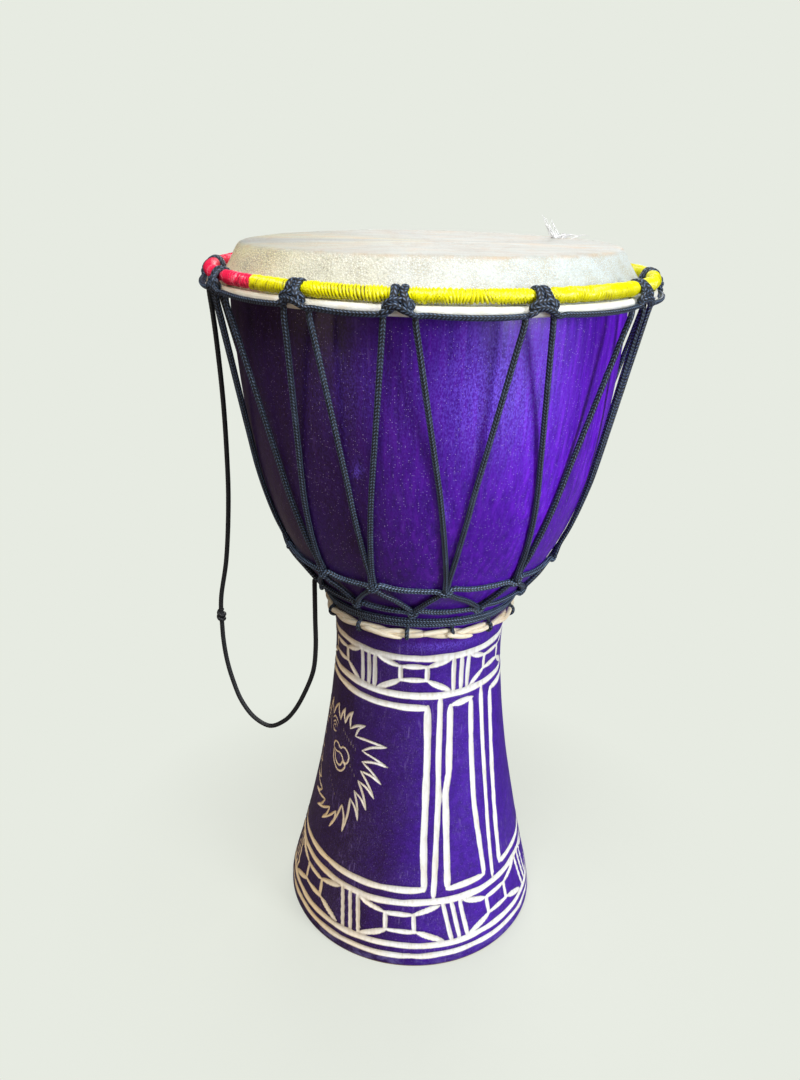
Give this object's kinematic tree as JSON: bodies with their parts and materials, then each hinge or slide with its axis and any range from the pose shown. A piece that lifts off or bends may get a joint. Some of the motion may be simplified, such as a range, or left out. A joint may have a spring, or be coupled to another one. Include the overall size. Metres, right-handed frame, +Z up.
{
  "type": "djembe",
  "caption": "Rope-tuned goblet drum with a carved wooden shell, a goatskin head, a yarn-wrapped crown ring, woven lacing, a cane waist ring and a slack carry cord.",
  "frame": {"origin": "centre of the foot's bottom face", "axes": "+Z up along the drum's axis from the foot to the playing head; -Y is the front, with the narrow carved panel just right of centre; +X is to the right seen from the front"},
  "size_m": [0.3496, 0.3405, 0.6],
  "materials": {
    "shell": "gloss",
    "skin": "matte",
    "rope": "matte",
    "yarn_yellow": "satin",
    "yarn_red": "satin",
    "steel": "satin",
    "cane": "matte"
  },
  "bodies": {
    "root": {"shell": "shell", "drumhead": "skin", "flesh_ring": "steel", "crown_ring": "steel", "crown_wrap_yellow": "yarn_yellow", "crown_wrap_red": "yarn_red", "base_ring": "cane", "crown_hitch_01": "rope", "crown_hitch_02": "rope", "crown_hitch_03": "rope", "crown_hitch_04": "rope", "crown_hitch_05": "rope", "crown_hitch_06": "rope", "crown_hitch_07": "rope", "crown_hitch_08": "rope", "crown_hitch_09": "rope", "crown_hitch_10": "rope", "crown_hitch_11": "rope", "crown_hitch_12": "rope", "lacing_rope": "rope", "weave_row_upper": "rope", "weave_row_lower": "rope", "base_run_upper": "rope", "base_run_lower": "rope", "base_loop_01": "rope", "base_loop_02": "rope", "base_loop_03": "rope", "base_loop_04": "rope", "base_loop_05": "rope", "base_loop_06": "rope", "base_loop_07": "rope", "base_loop_08": "rope", "base_loop_09": "rope", "base_loop_10": "rope", "base_loop_11": "rope", "base_loop_12": "rope", "carry_cord": "rope", "carry_cord_knot": "rope"}
  },
  "joints": []
}
